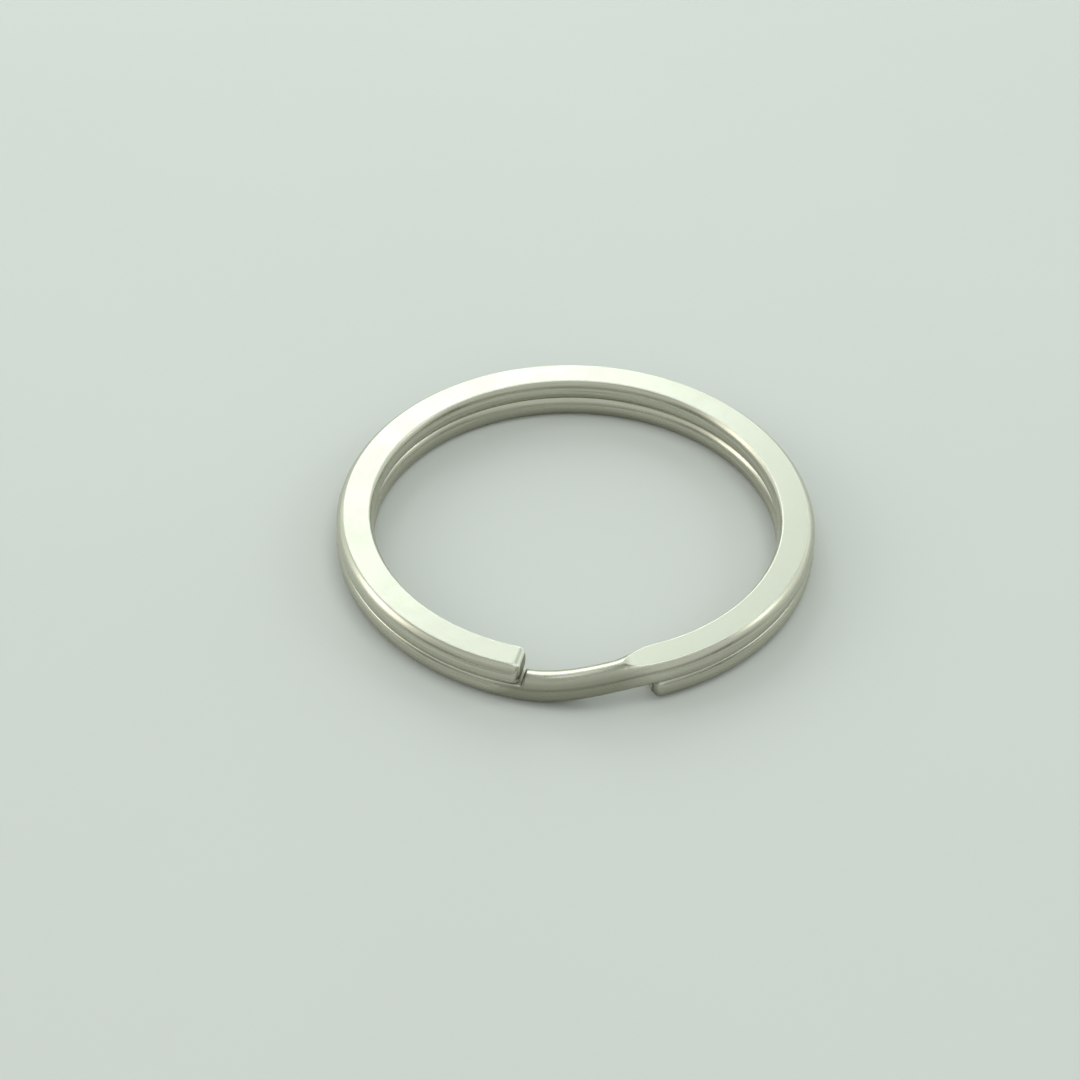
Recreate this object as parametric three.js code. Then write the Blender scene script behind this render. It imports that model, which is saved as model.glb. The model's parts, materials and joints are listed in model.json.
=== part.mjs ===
// A split key ring: one length of round spring wire, wound almost twice round and pressed flat,
// so that two layers lie face to face. Between its two cut ends the wire steps down from the
// upper layer to the lower one, in a short crank.
//
// The ring opens because the wire bends and twists all along a layer. Each layer is therefore
// a row of short stretches, end to end, which turn a little against each other, and the crank
// is one more stretch between the layers.
//
// Millimetres, +Z up. The ring's axis is Z, the lower layer rests on Z = 0, and the crank's
// middle is at -Y. Places along the wire are turns in degrees, from 0 at the upper cut end.

import * as THREE from "three";

const { clamp, degToRad, lerp, radToDeg, smoothstep } = THREE.MathUtils;

// The ring
const OUTER_DIAMETER = 30;
const CRANK_SPAN = 32; // degrees of the circle between the two cut ends
const CRANK_AZIMUTH = 270; // degrees, the crank's middle

// The wire and its pressed section
const WIRE_RADIUS = 0.95; // the round stock
const PRESSED_SPREAD = 0.29; // pressing moves the round side outside the ring this far out
const INNER_SPREAD = 0.16; // and the round side inside it this far in
const INNER_RISE = 0.12; // the inner round side is this much nearer to its layer's outer face
const PRESSED_FACE = 0.82; // from the wire's centre to the pressed face
const CONTACT_FACE = 0.58; // from the wire's centre to the plane where the layers meet
const LAYER_SLIT = 0.06; // the gap left between the layers

// The crank, which the press doesn't touch
const ROUNDING_LEAD = 2; // degrees before the crank where the wire starts to grow narrower
const ROUNDING_SPAN = 12; // degrees from there to where it is round
const WIDENING_SPAN = 8; // degrees over which it grows wide again, under the upper cut end
const SHOULDER_START = 0.3; // degrees from the crank's end to the step beside a cut end
const SHOULDER_SPAN = 1.6; // degrees over which the wire steps from its contact face to round

// The stretches
const STRETCH_GAP = 0.06; // between neighbouring stretches
const STATION_SPACING = 4.1; // degrees between cross-sections on a layer
const CRANK_STATION_SPACING = 1.7;
const ARC_DIVISIONS = 3; // half the facets on one round side of a layer
const CRANK_ARC_DIVISIONS = 6;
const TIP_CORNER_RADIUS = 0.4; // the cut ends' corners, seen from above
const TIP_STATION_SHARES = [0.12, 0.45, 1]; // cross-sections along that corner

// In order along the wire
const UPPER_NAMES = [
  "upper_tip",
  "upper_left_front",
  "upper_left",
  "upper_left_back",
  "upper_back_left",
  "upper_back_right",
  "upper_right_back",
  "upper_right",
  "upper_right_front",
  "upper_shoulder",
];
const CRANK_NAME = "crank";
const LOWER_NAMES = [
  "lower_shoulder",
  "lower_left_front",
  "lower_left",
  "lower_left_back",
  "lower_back_left",
  "lower_back_right",
  "lower_right_back",
  "lower_right",
  "lower_right_front",
  "lower_tip",
];

const CENTRE_RADIUS = OUTER_DIAMETER / 2 - WIRE_RADIUS - PRESSED_SPREAD;
const SIDE_HALF_WIDTH = WIRE_RADIUS + PRESSED_SPREAD;
const RING_HEIGHT = 2 * (PRESSED_FACE + CONTACT_FACE);
const LOWER_CENTRE = PRESSED_FACE;
const UPPER_CENTRE = RING_HEIGHT - PRESSED_FACE;
const OPEN_CONTACT_FACE = CONTACT_FACE - LAYER_SLIT / 2;
const LAYER_SPAN = 360 - CRANK_SPAN;
const CRANK_END = LAYER_SPAN + CRANK_SPAN;
const WIRE_SPAN = CRANK_END + LAYER_SPAN;
const STRETCH_SPAN = LAYER_SPAN / UPPER_NAMES.length;
const UPPER_TIP_AZIMUTH = CRANK_AZIMUTH - CRANK_SPAN / 2;

// The angle that a length of the centre line takes up.
const turnOf = (length) => radToDeg(length / CENTRE_RADIUS);

// 0 where the wire leaves the upper layer, 1 where it joins the lower one.
const crankShare = (turn) => clamp((turn - LAYER_SPAN) / CRANK_SPAN, 0, 1);

// 0 on the layers, 1 on the part of the crank where the wire keeps its round section.
function freedomAt(turn) {
  const narrowsAt = LAYER_SPAN - ROUNDING_LEAD;
  const rounded = smoothstep(turn, narrowsAt, narrowsAt + ROUNDING_SPAN);
  const widened = smoothstep(turn, CRANK_END, CRANK_END + WIDENING_SPAN);
  return rounded - widened;
}

// The wire's centre goes down the crank in a smooth S.
const centreHeight = (turn) =>
  lerp(UPPER_CENTRE, LOWER_CENTRE, smoothstep(crankShare(turn), 0, 1));

// The highest and lowest that the surface may stand: the press's faces outside the ring, and
// between the layers the other layer's face, up to the step beside the other cut end.
function limitsAt(turn) {
  const pastUpper = clamp((turn - LAYER_SPAN - SHOULDER_START) / SHOULDER_SPAN, 0, 1);
  const beforeLower = clamp((CRANK_END - SHOULDER_START - turn) / SHOULDER_SPAN, 0, 1);
  return {
    lowest: lerp(UPPER_CENTRE - OPEN_CONTACT_FACE, 0, pastUpper),
    highest: lerp(LOWER_CENTRE + OPEN_CONTACT_FACE, RING_HEIGHT, beforeLower),
  };
}

// The share of its width that the wire keeps, which falls over the rounded corners of a cut end.
function widthShareAt(turn) {
  const distance = degToRad(Math.min(turn, WIRE_SPAN - turn)) * CENTRE_RADIUS;
  const inside = clamp(TIP_CORNER_RADIUS - distance, 0, TIP_CORNER_RADIUS);
  const cut = TIP_CORNER_RADIUS - Math.sqrt(TIP_CORNER_RADIUS ** 2 - inside ** 2);
  return 1 - cut / SIDE_HALF_WIDTH;
}

// Two round sides joined by a flat above and a flat below the wire's centre. X points outwards.
// The inner side's centre stands higher than the outer side's by a rise, which may be negative.
function wireSection(flatAbove, flatBelow, rise) {
  const angleTo = (height) => Math.asin(Math.min(height / WIRE_RADIUS, 1));
  const innerAbove = angleTo(flatAbove - rise);
  const innerBelow = angleTo(flatBelow + rise);
  const outline = new THREE.Shape();
  outline.absarc(PRESSED_SPREAD, 0, WIRE_RADIUS, -angleTo(flatBelow), angleTo(flatAbove), false);
  outline.absarc(
    -INNER_SPREAD, rise, WIRE_RADIUS, Math.PI - innerAbove, Math.PI + innerBelow, false,
  );
  outline.closePath();
  return { outline, rise };
}

// Turns of the cross-sections between two places, closer together round a cut end's corners.
function stationTurns(from, to, spacing) {
  const count = Math.ceil((to - from) / spacing);
  const even = Array.from({ length: count + 1 }, (_, i) => lerp(from, to, i / count));
  const corner = TIP_STATION_SHARES.map((share) => turnOf(share * TIP_CORNER_RADIUS));
  const atTips = [...corner, ...corner.map((turn) => WIRE_SPAN - turn)];
  const extra = atTips.filter((turn) => turn > from && turn < to);
  return [...even, ...extra].sort((a, b) => a - b);
}

// Moves a vertex of the straight bar, at one cross-section, to its place on the wound wire. Where
// the wire becomes round it grows narrower, and its outer side stays flush with the layers'.
function woundPoint(across, up, turn, rise) {
  const freedom = freedomAt(turn);
  const isInner = across < 0;
  const narrowing = isInner ? -INNER_SPREAD * freedom : PRESSED_SPREAD * freedom;
  const outwards = (across - narrowing) * widthShareAt(turn);
  const radius = CENTRE_RADIUS + PRESSED_SPREAD * freedom + outwards;
  const { lowest, highest } = limitsAt(turn);
  const lifted = isInner ? up - rise * freedom : up;
  const height = clamp(centreHeight(turn) + lifted, lowest, highest);
  const azimuth = degToRad(UPPER_TIP_AZIMUTH - turn);
  return new THREE.Vector3(radius * Math.cos(azimuth), radius * Math.sin(azimuth), height);
}

// One stretch of the wire: a straight bar with a step for each cross-section, wound into place.
function makeStretch(name, from, to, section, spacing, curveSegments) {
  const turns = stationTurns(from, to, spacing);
  const steps = turns.length - 1;
  const options = { depth: steps, steps, curveSegments, bevelEnabled: false };
  const geometry = new THREE.ExtrudeGeometry(section.outline, options);
  const position = geometry.getAttribute("position");
  for (let i = 0; i < position.count; i += 1) {
    const turn = turns[Math.round(position.getZ(i))];
    const point = woundPoint(position.getX(i), position.getY(i), turn, section.rise);
    position.setXYZ(i, point.x, point.y, point.z);
  }
  geometry.computeVertexNormals();
  const nickel = new THREE.MeshStandardMaterial({ color: 0xd6d9cf, roughness: 0.35, metalness: 1 });
  const mesh = new THREE.Mesh(geometry, nickel);
  mesh.name = name;
  return mesh;
}

// A row of equal stretches that makes one layer. Its cut end has no gap to leave.
function makeLayer(names, layerStart, section) {
  const halfGap = turnOf(STRETCH_GAP / 2);
  return names.map((name, i) => {
    const from = layerStart + i * STRETCH_SPAN;
    const to = from + STRETCH_SPAN;
    const start = i === 0 && layerStart === 0 ? 0 : from + halfGap;
    const end = i === names.length - 1 && layerStart > 0 ? WIRE_SPAN : to - halfGap;
    return makeStretch(name, start, end, section, STATION_SPACING, ARC_DIVISIONS);
  });
}

function makeCrank() {
  const halfGap = turnOf(STRETCH_GAP / 2);
  const round = wireSection(WIRE_RADIUS + INNER_RISE, WIRE_RADIUS, INNER_RISE);
  const from = LAYER_SPAN + halfGap;
  const to = CRANK_END - halfGap;
  return makeStretch(CRANK_NAME, from, to, round, CRANK_STATION_SPACING, CRANK_ARC_DIVISIONS);
}

const upperSection = wireSection(PRESSED_FACE, OPEN_CONTACT_FACE, INNER_RISE);
const lowerSection = wireSection(OPEN_CONTACT_FACE, PRESSED_FACE, -INNER_RISE);
const keyRing = new THREE.Group();
keyRing.add(...makeLayer(UPPER_NAMES, 0, upperSection));
keyRing.add(makeCrank());
keyRing.add(...makeLayer(LOWER_NAMES, CRANK_END, lowerSection));

export default keyRing;
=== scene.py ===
import json
import math

import bpy
import numpy as np
from mathutils import Matrix, Vector

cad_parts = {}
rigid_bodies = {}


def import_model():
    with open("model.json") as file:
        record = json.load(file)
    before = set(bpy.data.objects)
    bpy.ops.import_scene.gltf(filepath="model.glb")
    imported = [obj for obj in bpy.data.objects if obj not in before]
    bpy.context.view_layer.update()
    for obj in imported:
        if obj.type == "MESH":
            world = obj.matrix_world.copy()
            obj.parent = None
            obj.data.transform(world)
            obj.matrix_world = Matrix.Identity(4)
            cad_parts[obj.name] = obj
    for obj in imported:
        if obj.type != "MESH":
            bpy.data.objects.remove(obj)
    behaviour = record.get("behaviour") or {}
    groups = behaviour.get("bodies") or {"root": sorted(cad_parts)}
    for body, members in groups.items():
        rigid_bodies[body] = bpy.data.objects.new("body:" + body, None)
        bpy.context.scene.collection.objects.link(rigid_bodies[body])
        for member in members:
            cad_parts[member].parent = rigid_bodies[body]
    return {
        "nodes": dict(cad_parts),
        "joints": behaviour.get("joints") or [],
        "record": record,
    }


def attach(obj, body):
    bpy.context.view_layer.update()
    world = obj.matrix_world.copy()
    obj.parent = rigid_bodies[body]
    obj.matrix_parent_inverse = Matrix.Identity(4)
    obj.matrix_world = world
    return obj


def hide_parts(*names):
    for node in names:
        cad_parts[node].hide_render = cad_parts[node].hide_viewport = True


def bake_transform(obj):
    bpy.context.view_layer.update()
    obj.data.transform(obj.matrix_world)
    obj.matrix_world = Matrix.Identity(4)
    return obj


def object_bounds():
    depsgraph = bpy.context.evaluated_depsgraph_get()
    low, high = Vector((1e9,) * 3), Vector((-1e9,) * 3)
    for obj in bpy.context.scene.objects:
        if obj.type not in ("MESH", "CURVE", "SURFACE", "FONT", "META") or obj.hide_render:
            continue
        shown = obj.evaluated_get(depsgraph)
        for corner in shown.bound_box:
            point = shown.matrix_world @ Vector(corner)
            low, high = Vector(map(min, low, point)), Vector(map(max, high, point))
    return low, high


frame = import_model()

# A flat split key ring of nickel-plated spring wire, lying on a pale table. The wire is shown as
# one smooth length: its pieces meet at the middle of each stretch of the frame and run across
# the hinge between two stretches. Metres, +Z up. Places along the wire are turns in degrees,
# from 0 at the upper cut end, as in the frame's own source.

cad_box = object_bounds()

MM = 0.001

# ---------------------------------------------------------------------------------------------
# The wire's shape
# ---------------------------------------------------------------------------------------------

# The same dimensions as the frame's
CRANK_SPAN = 32
CRANK_AZIMUTH = 270
WIRE_RADIUS = 0.95 * MM
PRESSED_SPREAD = 0.29 * MM
INNER_SPREAD = 0.16 * MM
INNER_RISE = 0.12 * MM
PRESSED_FACE = 0.82 * MM
ROUNDING_LEAD = 2
ROUNDING_SPAN = 12
WIDENING_SPAN = 8
SHOULDER_START = 0.3
SHOULDER_SPAN = 1.6
TIP_CORNER_RADIUS = 0.4 * MM
STRETCHES_PER_LAYER = 10

# Finer than the frame
LAYER_SLIT = 0.03 * MM  # half the frame's, for a finer dark line between the layers
LEAST_FLAT_DEPTH = 0.0008 * MM  # where the press leaves no flat, the section still has a trace
EDGE_RADIUS = 0.12 * MM  # between a flat and a round side
TIP_EDGE_RADIUS = 0.46 * MM  # the same, at a cut end
TIP_EDGE_LENGTH = 2 * TIP_EDGE_RADIUS  # over which the one turns into the other
TIP_FACE_RADIUS = 0.42 * MM  # between a cut face and the wire's surface

# Where the surface looks different
WORN_FLAT_DEPTH = 0.06 * MM  # a flat pressed in this deep has its full grain and its full bright edges, partly wear and partly painted highlight
CONTACT_WEAR_AND_HIGHLIGHT = 0.15  # how much of the bright edge colour, partly wear and partly painted highlight, the edges between the layers get, next to the outer ones
PAINTED_SHADE_HEIGHT = 1.2 * MM  # painted shade: the sides are coloured darker from here down to the table, for the shaded table they reflect
CRANK_PAINTED_SHADE_FADE = 0.35 * MM  # painted shade: from the crank's top down to where it is coloured darker all over, for the darker floor it reflects
SHEARED_DEPTH = 0.04 * MM  # how far from a cut end the surface takes the cut face's material
PAINTED_SHADOW_STEP = SHOULDER_START + SHOULDER_SPAN / 2  # and how far from the crank's ends, in degrees, the foot of the step takes the cut face's dark material as painted shadow

# Sections along the wire, with their spacing in degrees, and points round each section
TIP_ZONE = 0.6 * MM
TIP_STATIONS = 12
LAYER_SPACING = 1.0
CRANK_SPACING = 0.5
SHOULDER_SPACING = 0.1
ARC_POINTS = 19
FILLET_POINTS = 6
FLAT_POINTS = 5
SEAM_MARGIN = 1e-6  # a section this near a seam lies on it

outer_radius = max(v.co.xy.length for node in frame["nodes"].values() for v in node.data.vertices)
ring_height = cad_box[1].z - cad_box[0].z
CENTRE_RADIUS = outer_radius - WIRE_RADIUS - PRESSED_SPREAD
CONTACT_FACE = ring_height / 2 - PRESSED_FACE
LOWER_CENTRE = PRESSED_FACE
UPPER_CENTRE = ring_height - PRESSED_FACE
LAYER_SPAN = 360 - CRANK_SPAN
CRANK_END = LAYER_SPAN + CRANK_SPAN
WIRE_SPAN = CRANK_END + LAYER_SPAN
STRETCH_SPAN = LAYER_SPAN / STRETCHES_PER_LAYER
UPPER_TIP_AZIMUTH = CRANK_AZIMUTH - CRANK_SPAN / 2


def lerp(a, b, share):
    return a + (b - a) * share


def smooth(x):
    """0 below 0, 1 above 1, and level at both."""
    x = np.clip(x, 0, 1)
    return x * x * (3 - 2 * x)


def turn_of(length):
    """The angle that a length of the centre line takes up."""
    return math.degrees(length / CENTRE_RADIUS)


def crank_share(turn):
    return np.clip((turn - LAYER_SPAN) / CRANK_SPAN, 0, 1)


def freedom(turn):
    """0 on the layers, 1 on the part of the crank where the wire keeps its round section."""
    rounded = smooth((turn - LAYER_SPAN + ROUNDING_LEAD) / ROUNDING_SPAN)
    widened = smooth((turn - CRANK_END) / WIDENING_SPAN)
    return rounded - widened


def centre_height(turn):
    return lerp(UPPER_CENTRE, LOWER_CENTRE, smooth(crank_share(turn)))


def centre_radius(turn):
    """The crank's outer side stays flush with the layers'."""
    return CENTRE_RADIUS + PRESSED_SPREAD * freedom(turn)


def inner_rise(turn):
    """How much higher the inner round side's centre stands than the outer side's."""
    upward = np.where(turn < CRANK_END, 1, -1)
    return upward * INNER_RISE * (1 - freedom(turn))


def flats(turn, rise):
    """How far above and below a round side's centre the surface may stand."""
    centre = centre_height(turn) + rise
    contact = CONTACT_FACE - LAYER_SLIT / 2
    past_upper = smooth((turn - LAYER_SPAN - SHOULDER_START) / SHOULDER_SPAN)
    before_lower = smooth((CRANK_END - SHOULDER_START - turn) / SHOULDER_SPAN)
    lowest = lerp(UPPER_CENTRE - contact, 0, past_upper)
    highest = lerp(LOWER_CENTRE + contact, ring_height, before_lower)
    most = WIRE_RADIUS - LEAST_FLAT_DEPTH
    return np.minimum(highest - centre, most), np.minimum(centre - lowest, most)


def tip_distance(turn):
    return np.radians(np.minimum(turn, WIRE_SPAN - turn)) * CENTRE_RADIUS


def rounded_corner(distance, radius):
    """How far a rounded corner cuts in, at a distance from the end."""
    inside = np.clip(radius - distance, 0, radius)
    return radius - np.sqrt(radius**2 - inside**2)


def fillet_reach(flat, edge):
    """How far out the middle of the rounded edge beside a flat lies."""
    return np.sqrt((WIRE_RADIUS - edge) ** 2 - (flat - edge) ** 2)


def edge_radius(turn):
    """Of the rounded edges beside the flats, which are wider near the cut ends."""
    near_tip = 1 - smooth(tip_distance(turn) / TIP_EDGE_LENGTH)
    return lerp(EDGE_RADIUS, TIP_EDGE_RADIUS, near_tip)


def side_outline(turn, spread, rise):
    """One round side of each section, top to bottom: outwards, up, and the angle it faces."""
    above, below = flats(turn, rise)
    edge = edge_radius(turn)
    reach_above = fillet_reach(above, edge)
    reach_below = fillet_reach(below, edge)
    arc_start = np.arctan2(above - edge, reach_above)
    arc_end = -np.arctan2(below - edge, reach_below)
    along = np.linspace(0, 1, FILLET_POINTS)
    fillet_above = lerp(math.pi / 2, arc_start, along)
    fillet_below = lerp(arc_end, -math.pi / 2, along)
    arc = lerp(arc_start, arc_end, np.linspace(0, 1, ARC_POINTS + 2)[1:-1])
    outwards = [
        reach_above + edge * np.cos(fillet_above),
        WIRE_RADIUS * np.cos(arc),
        reach_below + edge * np.cos(fillet_below),
    ]
    up = [
        above - edge + edge * np.sin(fillet_above),
        WIRE_RADIUS * np.sin(arc),
        edge - below + edge * np.sin(fillet_below),
    ]
    facing = np.concatenate([fillet_above, arc, fillet_below], axis=1)
    return spread + np.concatenate(outwards, axis=1), rise + np.concatenate(up, axis=1), facing


def flat_between(start, end):
    """Points between the last of one outline and the first of the next, without those two."""
    share = np.linspace(0, 1, FLAT_POINTS + 2)[1:-1]
    return lerp(start[:, -1:], end[:, :1], share)


def closed_outline(outer, inner):
    """The outer side, the flat below, the inner side upwards and the flat above."""
    below = flat_between(outer, inner)
    above = flat_between(inner, outer)
    return np.concatenate([outer, below, inner, above], axis=1)


def sections(turns):
    """Every section's outline, clockwise with X outwards: across, up, facing across, facing up."""
    turn = turns[:, None]
    pressed = 1 - freedom(turn)
    outer, outer_up, outer_facing = side_outline(turn, PRESSED_SPREAD * pressed, 0 * turn)
    inner, inner_up, inner_facing = side_outline(turn, INNER_SPREAD * pressed, inner_rise(turn))
    inner, inner_up, inner_facing = (side[:, ::-1] for side in (inner, inner_up, inner_facing))
    level = np.ones((len(turns), FLAT_POINTS))
    outwards = [np.cos(outer_facing), 0 * level, -np.cos(inner_facing), 0 * level]
    upwards = [np.sin(outer_facing), -level, np.sin(inner_facing), level]
    return (
        closed_outline(outer, -inner),
        closed_outline(outer_up, inner_up),
        np.concatenate(outwards, axis=1),
        np.concatenate(upwards, axis=1),
    )


def surface_marks(turns):
    """Two masks on the outline's points: how flat-pressed the surface is, and how near an edge."""
    above, below = flats(turns[:, None], 0)
    fade = np.linspace(1, 0, FILLET_POINTS)
    ridge = np.sin(math.pi * np.linspace(0, 1, FILLET_POINTS))
    none, whole = np.zeros(ARC_POINTS), np.ones(FLAT_POINTS)
    half = np.concatenate([fade, none, fade[::-1]])
    pressed = np.concatenate([half, whole, half[::-1], whole])
    half_edge = np.concatenate([ridge, none, ridge])
    edge = np.concatenate([half_edge, 0 * whole, half_edge[::-1], 0 * whole])
    is_upper = np.sin(np.linspace(math.pi / 2, -1.5 * math.pi, len(pressed))) > 0
    depth = WIRE_RADIUS - np.where(is_upper, above, below)
    strength = smooth(depth / WORN_FLAT_DEPTH)
    is_contact = is_upper == (turns[:, None] > CRANK_END - CRANK_SPAN / 2)
    # The edges between the layers get less of the bright edge colour, partly wear and partly painted
    # highlight
    wear_and_highlight = np.where(is_contact, CONTACT_WEAR_AND_HIGHLIGHT, 1)
    return pressed * strength, edge * strength * wear_and_highlight


def painted_shade_mask(turns, places, up):
    """1 where the sides are coloured darker as painted shade: near the table, and on the crank below
    its top.
    """
    near_table = 1 - smooth(places[..., 2] / PAINTED_SHADE_HEIGHT)
    below_top = freedom(turns)[:, None] * smooth((WIRE_RADIUS - up) / CRANK_PAINTED_SHADE_FADE)
    return np.clip(near_table + below_top, 0, 1)


def cut_face_and_shadow_mask(turns, up):
    """Where the cut face's material goes: a cut end's face, and the foot of the step beside it as
    painted shadow.
    """
    at_tip = tip_distance(turns) < SHEARED_DEPTH
    under_step = (turns > LAYER_SPAN) & (turns < LAYER_SPAN + PAINTED_SHADOW_STEP)
    over_step = (turns > CRANK_END - PAINTED_SHADOW_STEP) & (turns < CRANK_END)
    low, high = up < -CONTACT_FACE, up > CONTACT_FACE
    return at_tip[:, None] | (under_step[:, None] & low) | (over_step[:, None] & high)


def wire_stations():
    """Turns of all sections: close together at the tips and shoulders, and one at each seam."""
    tip = turn_of(TIP_ZONE)
    fan = tip * (1 - np.cos(np.linspace(0, math.pi / 2, TIP_STATIONS + 1)))
    shoulder = SHOULDER_START + SHOULDER_SPAN
    seams = [(i + 0.5) * STRETCH_SPAN for i in range(STRETCHES_PER_LAYER)]
    stops = [(tip, LAYER_SPACING)]
    stops += [(seam, LAYER_SPACING) for seam in seams]
    stops += [(LAYER_SPAN, SHOULDER_SPACING), (LAYER_SPAN + shoulder, CRANK_SPACING)]
    stops += [(CRANK_END - shoulder, SHOULDER_SPACING), (CRANK_END, LAYER_SPACING)]
    stops += [(CRANK_END + seam, LAYER_SPACING) for seam in seams]
    stops.append((WIRE_SPAN - tip, None))
    turns = [fan[:-1]]
    for (start, spacing), (end, _) in zip(stops, stops[1:]):
        count = math.ceil((end - start) / spacing)
        turns.append(np.linspace(start, end, count + 1)[:-1])
    turns.append(WIRE_SPAN - fan[::-1])
    return np.concatenate(turns)


def unit(vectors):
    return vectors / np.linalg.norm(vectors, axis=-1, keepdims=True)


def closed_tips(turns, u, v, nu, nv):
    """The outline drawn in towards both cut ends: rounded face edges, and corners seen from above."""
    distance = tip_distance(turns)[:, None]
    inset = rounded_corner(distance, TIP_FACE_RADIUS)
    half_width = WIRE_RADIUS + PRESSED_SPREAD
    kept_width = 1 - rounded_corner(distance, TIP_CORNER_RADIUS) / half_width
    return (u - inset * nu) * kept_width, v - inset * nv


def wound_wire():
    """Places, directions and marks of the whole wire's surface, one row for each section."""
    turns = wire_stations()
    u, v, nu, nv = sections(turns)
    u, v = closed_tips(turns, u, v, nu, nv)
    azimuth = np.radians(UPPER_TIP_AZIMUTH - turns)
    outwards = np.stack([np.cos(azimuth), np.sin(azimuth), 0 * azimuth], axis=1)[:, None, :]
    upwards = np.array([0, 0, 1.0])
    radius = centre_radius(turns)[:, None] + u
    height = centre_height(turns)[:, None] + v
    places = radius[..., None] * outwards + height[..., None] * upwards
    along = np.gradient(places, turns, axis=0)
    rough = nu[..., None] * outwards + nv[..., None] * upwards
    across = -nv[..., None] * outwards + nu[..., None] * upwards
    facing = unit(np.cross(across, along))
    facing *= np.sign((facing * rough).sum(-1, keepdims=True))
    pressed, edge = surface_marks(turns)
    length = np.radians(turns)[:, None] * CENTRE_RADIUS * np.ones_like(u)
    return {
        "turns": turns,
        "places": places,
        "facing": facing,
        "own": np.stack([length, u, v], axis=-1) / MM,
        "pressed": pressed,
        "edge": edge,
        "scuffed": painted_shade_mask(turns, places, v),
        "cut_face_and_shadow": cut_face_and_shadow_mask(turns, v),
        "along": unit(along.mean(axis=1)),
    }


wire = wound_wire()


def side_quads(count, around):
    """The quads between rows of points, each row closed on itself."""
    i = np.repeat(np.arange(count - 1), around) * around
    j = np.tile(np.arange(around), count - 1)
    k = (j + 1) % around
    return np.stack([i + j, i + around + j, i + around + k, i + k], axis=1)


def add_marks(mesh, rows):
    """What the materials read: the place along and across the wire in mm, and the masks."""
    kinds = {"own": ("FLOAT_VECTOR", "vector")}
    for key in ("own", "pressed", "edge", "scuffed"):
        kind, field = kinds.get(key, ("FLOAT", "value"))
        values = np.ascontiguousarray(wire[key][rows], dtype=np.float32).ravel()
        mesh.attributes.new(f"wire_{key}", kind, "POINT").data.foreach_set(field, values)


def wire_piece(name, start, end):
    """A closed mesh of the wire between two turns, with its surface's own directions."""
    after_start = wire["turns"] > start - SEAM_MARGIN
    rows = np.flatnonzero(after_start & (wire["turns"] < end + SEAM_MARGIN))
    places = wire["places"][rows].reshape(-1, 3)
    around = len(places) // len(rows)
    quads = side_quads(len(rows), around)
    first = list(range(around))
    last = list(range(len(places) - around, len(places)))[::-1]
    faces = quads.tolist() + [first, last]
    mesh = bpy.data.meshes.new(name)
    mesh.from_pydata(places.tolist(), [], faces)
    mesh.polygons.foreach_set("use_smooth", [True] * len(faces))
    add_marks(mesh, rows)
    at_corner = wire["facing"][rows].reshape(-1, 3)[quads.ravel()]
    caps = [-wire["along"][rows[0]]] * around + [wire["along"][rows[-1]]] * around
    mesh.normals_split_custom_set(np.concatenate([at_corner, caps]).tolist())
    mesh.materials.append(materials["nickel"])
    mesh.materials.append(materials["cut"])
    # The cut face's material: on the cut ends, and as painted shadow at the foot of the step beside
    # them
    cut_face_and_shadow = wire["cut_face_and_shadow"][rows].reshape(-1)
    in_cut_material = cut_face_and_shadow[quads].any(axis=1).tolist() + [cut_face_and_shadow[first].all(), cut_face_and_shadow[last].all()]
    mesh.polygons.foreach_set("material_index", np.array(in_cut_material, dtype=np.int32))
    piece = bpy.data.objects.new(name, mesh)
    bpy.context.scene.collection.objects.link(piece)
    return piece


# ---------------------------------------------------------------------------------------------
# Materials
# ---------------------------------------------------------------------------------------------

# The sides' plate is darker than the flats': partly a duller drawn finish, partly painted shade for
# the shaded table the sides reflect
NICKEL_FLAT = (0.69, 0.69, 0.605, 1)
NICKEL_SIDE = (0.57, 0.555, 0.465, 1)
NICKEL_DULL = (0.47, 0.455, 0.37, 1)  # in the drawing lines along the sides
# Painted shade: the sides' colour near the table and on the crank below its top
NICKEL_PAINTED_SHADE = (0.34, 0.33, 0.26, 1)
NICKEL_WORN_AND_HIGHLIGHT = (0.88, 0.88, 0.80, 1)  # on the edges beside a flat: partly wear, partly painted highlight
# The cut face's colours along its shear lines; their darkness is partly the coarse cut face, partly
# painted shade for the dark gap and shaded table it faces
SHEARED_DARK_AND_SHADE = (0.19, 0.19, 0.14, 1)
SHEARED_PALE_AND_SHADE = (0.38, 0.38, 0.29, 1)
TABLE_DARK = (0.66, 0.675, 0.66, 1)
TABLE_PALE = (0.69, 0.705, 0.69, 1)

# How fine a texture is along the wire and the two ways across it, per millimetre
DRAWN_LINES = (0.12, 7.0, 7.0)
TUMBLED_GRAIN = (5.0, 8.0, 8.0)
SHEAR_LINES = (1.0, 9.0, 1.6)
CLOUD_SCALE = 0.55

# And on the table, per metre
TABLE_CLOUD_SCALE = 30.0
TABLE_FIBRE_SCALE = 2500.0

NOISE_RANGE = (0.3, 0.7)  # where most of a noise's values lie
DULL_RANGE = (0.35, 0.5)  # the drawing lines are dull below the first and clear above the second
# How much of the bright edge colour, partly wear and partly painted highlight, the edges beside a
# flat get
EDGE_WEAR_AND_HIGHLIGHT = 0.9

# Roughness at the low and the high end of its noise, and what is added to it
SIDE_ROUGHNESS = (0.34, 0.24)
FLAT_ROUGHNESS = (0.34, 0.44)
SHEARED_ROUGHNESS = (0.35, 0.55)
CLOUD_ROUGHNESS = (-0.03, 0.03)
EDGE_ROUGHNESS = 0.2

# How much of each texture's relief there is on the sides, and on the flats
GRAIN_RELIEF = (0.25, 1.8)
DRAWN_RELIEF = (0.8, 0.15)


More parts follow.
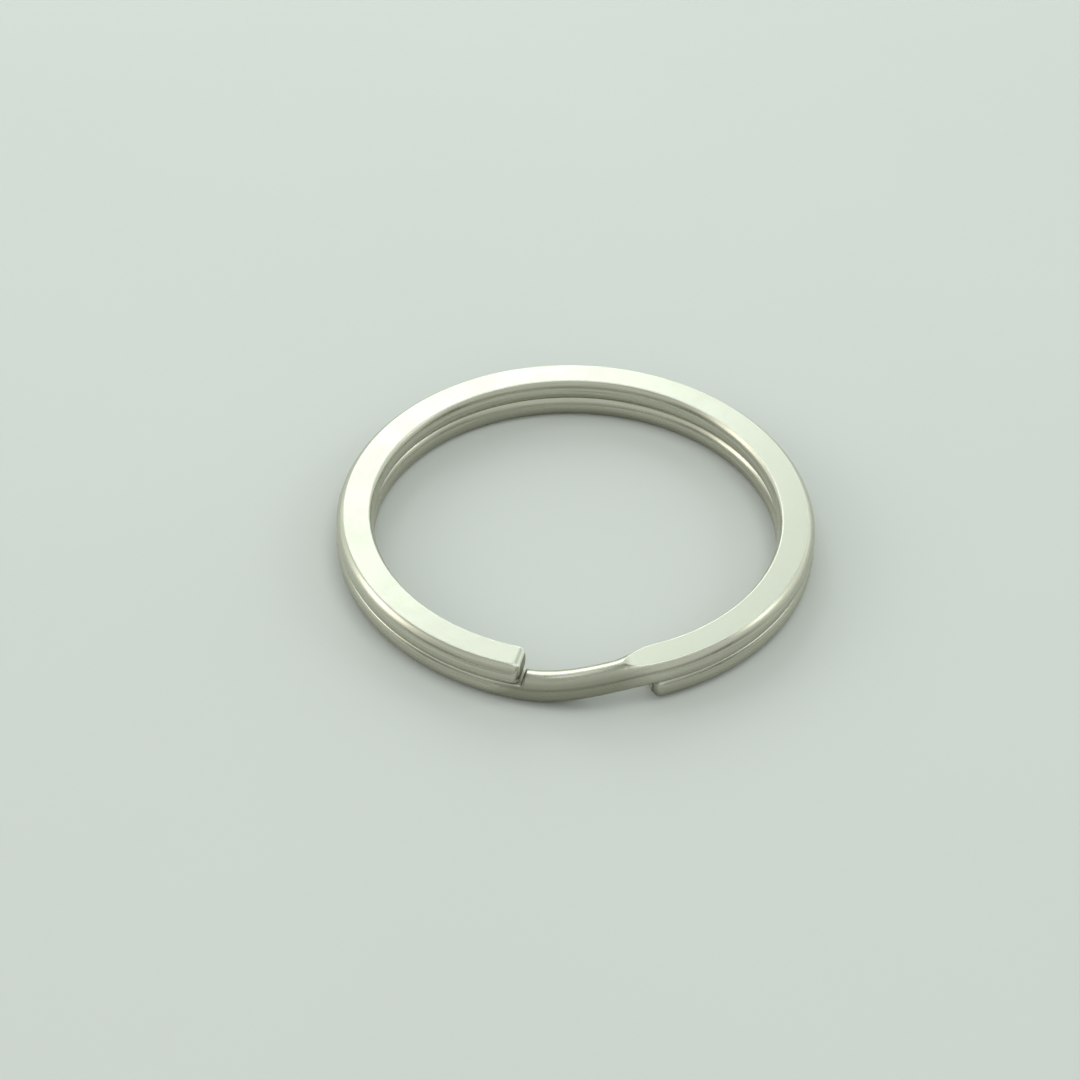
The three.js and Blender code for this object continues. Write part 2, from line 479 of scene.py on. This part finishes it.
class Nodes:
    """A short way to add, fill and link shader nodes."""

    def __init__(self, tree):
        self.tree = tree

    def fill(self, node, inputs):
        for key, value in inputs.items():
            if isinstance(value, bpy.types.NodeSocket):
                self.tree.links.new(value, node.inputs[key])
            else:
                node.inputs[key].default_value = value

    def add(self, kind, inputs=None, **settings):
        node = self.tree.nodes.new(kind)
        for key, value in settings.items():
            setattr(node, key, value)
        self.fill(node, inputs or {})
        return node

    def math(self, operation, a, b=0.0, c=0.0):
        return self.add("ShaderNodeMath", {0: a, 1: b, 2: c}, operation=operation).outputs[0]

    def ranged(self, value, low, high, to_low, to_high):
        sockets = {"Value": value, "From Min": low, "From Max": high}
        sockets |= {"To Min": to_low, "To Max": to_high}
        return self.add("ShaderNodeMapRange", sockets).outputs[0]

    def noise(self, vector, scale, detail=2.0, roughness=0.5):
        sockets = {"Vector": vector, "Scale": scale, "Detail": detail, "Roughness": roughness}
        return self.add("ShaderNodeTexNoise", sockets).outputs[0]

    def stretched_noise(self, vector, scales, detail, roughness):
        scaled = self.add("ShaderNodeVectorMath", {0: vector, 1: scales}, operation="MULTIPLY")
        return self.noise(scaled.outputs[0], 1.0, detail, roughness)

    def mixed(self, factor, a, b):
        sockets = {0: factor, 6: a, 7: b}
        return self.add("ShaderNodeMix", sockets, data_type="RGBA").outputs[2]

    def bump(self, height, strength, distance):
        sockets = {"Strength": strength, "Distance": distance, "Height": height}
        return self.add("ShaderNodeBump", sockets).outputs[0]

    def attribute(self, name, output="Fac"):
        return self.add("ShaderNodeAttribute", attribute_name=name).outputs[output]


def new_material(name):
    material = bpy.data.materials.new(name)
    material.use_nodes = True
    return material, Nodes(material.node_tree), material.node_tree.nodes["Principled BSDF"]


def plate_colour(nodes, drawn, pressed, edge):
    """Sides with duller lines and painted shade near the table and on the crank, paler flats, and
    bright edges between them, partly wear and partly painted highlight.
    """
    dull = nodes.ranged(drawn, *DULL_RANGE, 1.0, 0.0)
    side = nodes.mixed(dull, NICKEL_SIDE, NICKEL_DULL)
    # Painted shade on the sides near the table and on the crank below its top
    side = nodes.mixed(nodes.attribute("wire_scuffed"), side, NICKEL_PAINTED_SHADE)
    plate = nodes.mixed(pressed, side, NICKEL_FLAT)
    # Bright edges: partly wear, partly painted highlight
    return nodes.mixed(nodes.math("MULTIPLY", edge, EDGE_WEAR_AND_HIGHLIGHT), plate, NICKEL_WORN_AND_HIGHLIGHT)


def plate_roughness(nodes, drawn, grain, cloud, pressed, edge):
    side = nodes.ranged(drawn, *NOISE_RANGE, *SIDE_ROUGHNESS)
    flat = nodes.ranged(grain, *NOISE_RANGE, *FLAT_ROUGHNESS)
    plate = nodes.math("MULTIPLY_ADD", pressed, nodes.math("SUBTRACT", flat, side), side)
    varied = nodes.math("ADD", plate, nodes.ranged(cloud, *NOISE_RANGE, *CLOUD_ROUGHNESS))
    return nodes.math("MULTIPLY_ADD", edge, EDGE_ROUGHNESS, varied)


def plate_relief(nodes, drawn, grain, pressed):
    """Tumbling grain, mostly on the flats, and drawing lines, mostly on the sides."""
    grain_height = nodes.math("MULTIPLY", grain, nodes.ranged(pressed, 0, 1, *GRAIN_RELIEF))
    drawn_share = nodes.ranged(pressed, 0, 1, *DRAWN_RELIEF)
    return nodes.math("MULTIPLY_ADD", drawn, drawn_share, grain_height)


def nickel_material():
    """Tumbled nickel plate: satin on the pressed flats, smoother with drawing lines on the sides."""
    material, nodes, shader = new_material("nickel_plate")
    own = nodes.attribute("wire_own", "Vector")
    pressed = nodes.attribute("wire_pressed")
    edge = nodes.attribute("wire_edge")
    drawn = nodes.stretched_noise(own, DRAWN_LINES, 3.0, 0.6)
    grain = nodes.stretched_noise(own, TUMBLED_GRAIN, 4.0, 0.65)
    cloud = nodes.noise(own, CLOUD_SCALE)
    shader_inputs = {
        "Base Color": plate_colour(nodes, drawn, pressed, edge),
        "Roughness": plate_roughness(nodes, drawn, grain, cloud, pressed, edge),
        "Metallic": 1.0,
        "Normal": nodes.bump(plate_relief(nodes, drawn, grain, pressed), 0.25, 0.012 * MM),
    }
    nodes.fill(shader, shader_inputs)
    return material


def cut_and_shade_material():
    """A cut end's face, under the same thin plate: coarser, with shear lines, and darker as partly
    painted shade; also painted shadow at the foot of the step beside each crank end.
    """
    material, nodes, shader = new_material("sheared_end_and_painted_shade")
    own = nodes.attribute("wire_own", "Vector")
    shear = nodes.stretched_noise(own, SHEAR_LINES, 3.0, 0.6)
    shader_inputs = {
        "Base Color": nodes.mixed(shear, SHEARED_DARK_AND_SHADE, SHEARED_PALE_AND_SHADE),
        "Roughness": nodes.ranged(shear, *NOISE_RANGE, *SHEARED_ROUGHNESS),
        "Metallic": 1.0,
        "Normal": nodes.bump(shear, 0.5, 0.03 * MM),
    }
    nodes.fill(shader, shader_inputs)
    return material


def table_material():
    material, nodes, shader = new_material("pale_table")
    place = nodes.add("ShaderNodeTexCoord").outputs["Object"]
    cloud = nodes.noise(place, TABLE_CLOUD_SCALE, 3.0)
    fibre = nodes.noise(place, TABLE_FIBRE_SCALE, 4.0, 0.6)
    shader_inputs = {
        "Base Color": nodes.mixed(cloud, TABLE_DARK, TABLE_PALE),
        "Roughness": 0.75,
        "Specular IOR Level": 0.25,
        "Normal": nodes.bump(fibre, 0.06, 0.05 * MM),
    }
    nodes.fill(shader, shader_inputs)
    return material


materials = {"nickel": nickel_material(), "cut": cut_and_shade_material(), "table": table_material()}

# ---------------------------------------------------------------------------------------------
# The wire's pieces
# ---------------------------------------------------------------------------------------------

joint_of = {joint["child"]: joint for joint in frame["joints"]}
members = frame["record"]["behaviour"]["bodies"]
root = next(body for body in members if body not in joint_of)


def chain_from(tip):
    """The bodies from a cut end to the root, in order."""
    bodies = [tip]
    while bodies[-1] != root:
        bodies.append(joint_of[bodies[-1]]["parent"])
    return bodies


def dress_layer(tip, turn_at):
    """A layer's flexing part: an end piece on the tip, then one piece across each hinge."""
    bodies = chain_from(tip)
    nodes = [members[body][0] for body in bodies[:-1]]
    seams = [turn_at((i + 0.5) * STRETCH_SPAN) for i in range(len(bodies))]
    end = wire_piece(f"wire_{nodes[0]}_end", *sorted([turn_at(0), seams[0]]))
    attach(end, bodies[0])
    pieces = [end]
    for i, (near, far) in enumerate(zip(bodies, bodies[1:])):
        piece = wire_piece(f"wire_{nodes[i]}", *sorted([seams[i], seams[i + 1]]))
        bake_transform(piece)
        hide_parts(nodes[i])
        pieces.append(piece)
    return pieces, seams[-1]


upper_pieces, upper_root_seam = dress_layer("upper_tip", lambda turn: turn)
lower_pieces, lower_root_seam = dress_layer("lower_tip", lambda turn: WIRE_SPAN - turn)
crank_piece = wire_piece("wire_crank_side", upper_root_seam, lower_root_seam)
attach(crank_piece, root)
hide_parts(*members[root])

# ---------------------------------------------------------------------------------------------
# Table, light and camera
# ---------------------------------------------------------------------------------------------

TABLE_SIZE = 3.0

# The room's colour low and high on the camera's side, and low and high behind the ring
FRONT_LOW = (0.20, 0.20, 0.18, 1)
FRONT_HIGH = (0.69, 0.74, 0.70, 1)
BACK_LOW = (1.20, 1.32, 1.26, 1)
BACK_HIGH = (0.16, 0.18, 0.17, 1)

# Where one colour turns into the other: by the direction's Z, and by its Y for the last
FRONT_RANGE = (0.08, 0.3)
BACK_RANGE = (0.3, 0.85)
BEHIND_RANGE = (-0.4, 0.6)

# Two dark corners on the camera's side, which fade out between two angles from their middle
CORNER_AZIMUTHS = (245, 115)
CORNER_ELEVATION = 2
CORNER_CORE = 5
CORNER_EDGE = 16
CORNER_COLOUR = (0.02, 0.02, 0.015, 1)

PALE_GREEN = (0.93, 1.0, 0.93)
PALE_WARM = (1.0, 0.96, 0.88)
PALE_COOL = (0.93, 1.0, 1.0)
PANEL_DISTANCE = 0.6

LENS = 117
SENSOR = 36
CAMERA_DISTANCE = 0.2197  # from the middle of the ring's top face
CAMERA_AZIMUTH = 184  # to the left of straight in front
CAMERA_ELEVATION = 41
CAMERA_ROLL = 1.83
AIM_LEFT = 0.588  # degrees from the ring's middle to the line of sight
AIM_DOWN = 0.481


def direction_to(azimuth, elevation):
    """Azimuth 0 is behind the ring and 90 to its right."""
    a, e = math.radians(azimuth), math.radians(elevation)
    return Vector((math.sin(a) * math.cos(e), math.cos(a) * math.cos(e), math.sin(e)))


def make_table():
    mesh = bpy.data.meshes.new("table")
    half = TABLE_SIZE / 2
    z = cad_box[0].z
    corners = [(-half, -half, z), (half, -half, z), (half, half, z), (-half, half, z)]
    mesh.from_pydata(corners, [], [(0, 1, 2, 3)])
    mesh.materials.append(materials["table"])
    table = bpy.data.objects.new("table", mesh)
    bpy.context.scene.collection.objects.link(table)


def area_light(name, azimuth, elevation, distance, size, radiance, colour):
    """A round soft light that faces the ring."""
    towards = direction_to(azimuth, elevation)
    data = bpy.data.lights.new(name, "AREA")
    data.shape = "DISK"
    data.size = size
    data.energy = radiance * math.pi * math.pi * (size / 2) ** 2
    data.color = colour
    light = bpy.data.objects.new(name, data)
    light.location = towards * distance
    light.rotation_euler = towards.to_track_quat("Z", "Y").to_euler()
    bpy.context.scene.collection.objects.link(light)


def corner_mask(nodes, direction, azimuth):
    """1 in the middle of a dark corner of the room, 0 outside it."""
    aim = direction_to(azimuth, CORNER_ELEVATION)
    dot = nodes.add("ShaderNodeVectorMath", {0: direction, 1: aim}, operation="DOT_PRODUCT")
    core, edge = (math.cos(math.radians(angle)) for angle in (CORNER_CORE, CORNER_EDGE))
    return nodes.ranged(dot.outputs["Value"], edge, core, 0.0, 1.0)


def make_world():
    """A pale room: bright low behind the ring and dark high there, the other way round in front."""
    world = bpy.data.worlds.new("room")
    bpy.context.scene.world = world
    world.use_nodes = True
    nodes = Nodes(world.node_tree)
    direction = nodes.add("ShaderNodeTexCoord").outputs["Generated"]
    split = nodes.add("ShaderNodeSeparateXYZ", {0: direction})
    behind = nodes.ranged(split.outputs["Y"], *BEHIND_RANGE, 0.0, 1.0)
    front_height = nodes.ranged(split.outputs["Z"], *FRONT_RANGE, 0.0, 1.0)
    back_height = nodes.ranged(split.outputs["Z"], *BACK_RANGE, 0.0, 1.0)
    front = nodes.mixed(front_height, FRONT_LOW, FRONT_HIGH)
    back = nodes.mixed(back_height, BACK_LOW, BACK_HIGH)
    colour = nodes.mixed(behind, front, back)
    for azimuth in CORNER_AZIMUTHS:
        colour = nodes.mixed(corner_mask(nodes, direction, azimuth), colour, CORNER_COLOUR)
    nodes.fill(world.node_tree.nodes["Background"], {"Color": colour, "Strength": 1.0})


def make_camera():
    data = bpy.data.cameras.new("camera")
    data.sensor_width = SENSOR
    data.lens = LENS
    data.clip_start = 0.01
    data.clip_end = 10
    camera = bpy.data.objects.new("camera", data)
    bpy.context.scene.collection.objects.link(camera)
    back = direction_to(CAMERA_AZIMUTH, CAMERA_ELEVATION)
    level = back.to_track_quat("Z", "Y").to_matrix()
    roll = Matrix.Rotation(math.radians(CAMERA_ROLL), 3, "Z")
    aim = Vector((math.tan(math.radians(AIM_LEFT)), math.tan(math.radians(AIM_DOWN)), -1.0))
    offset = aim.rotation_difference(Vector((0, 0, -1))).to_matrix()
    place = Vector((0, 0, cad_box[1].z)) + back * CAMERA_DISTANCE
    camera.matrix_world = Matrix.Translation(place) @ (level @ roll @ offset).to_4x4()
    bpy.context.scene.camera = camera


make_table()
make_world()
# Name, azimuth, elevation, distance, size, radiance and colour
area_light("back_panel", -6, 31, 0.25, 0.14, 2.0, PALE_GREEN)
area_light("overhead_panel", 95, 74, PANEL_DISTANCE, 0.28, 2.6, PALE_GREEN)
area_light("right_panel", 84, 34, PANEL_DISTANCE, 0.17, 2.9, PALE_GREEN)
area_light("left_panel", 278, 25, PANEL_DISTANCE, 0.32, 1.9, PALE_WARM)
area_light("left_overhead_panel", 314, 56, PANEL_DISTANCE, 0.18, 2.0, PALE_COOL)
make_camera()
bpy.context.scene.view_settings.view_transform = "Standard"
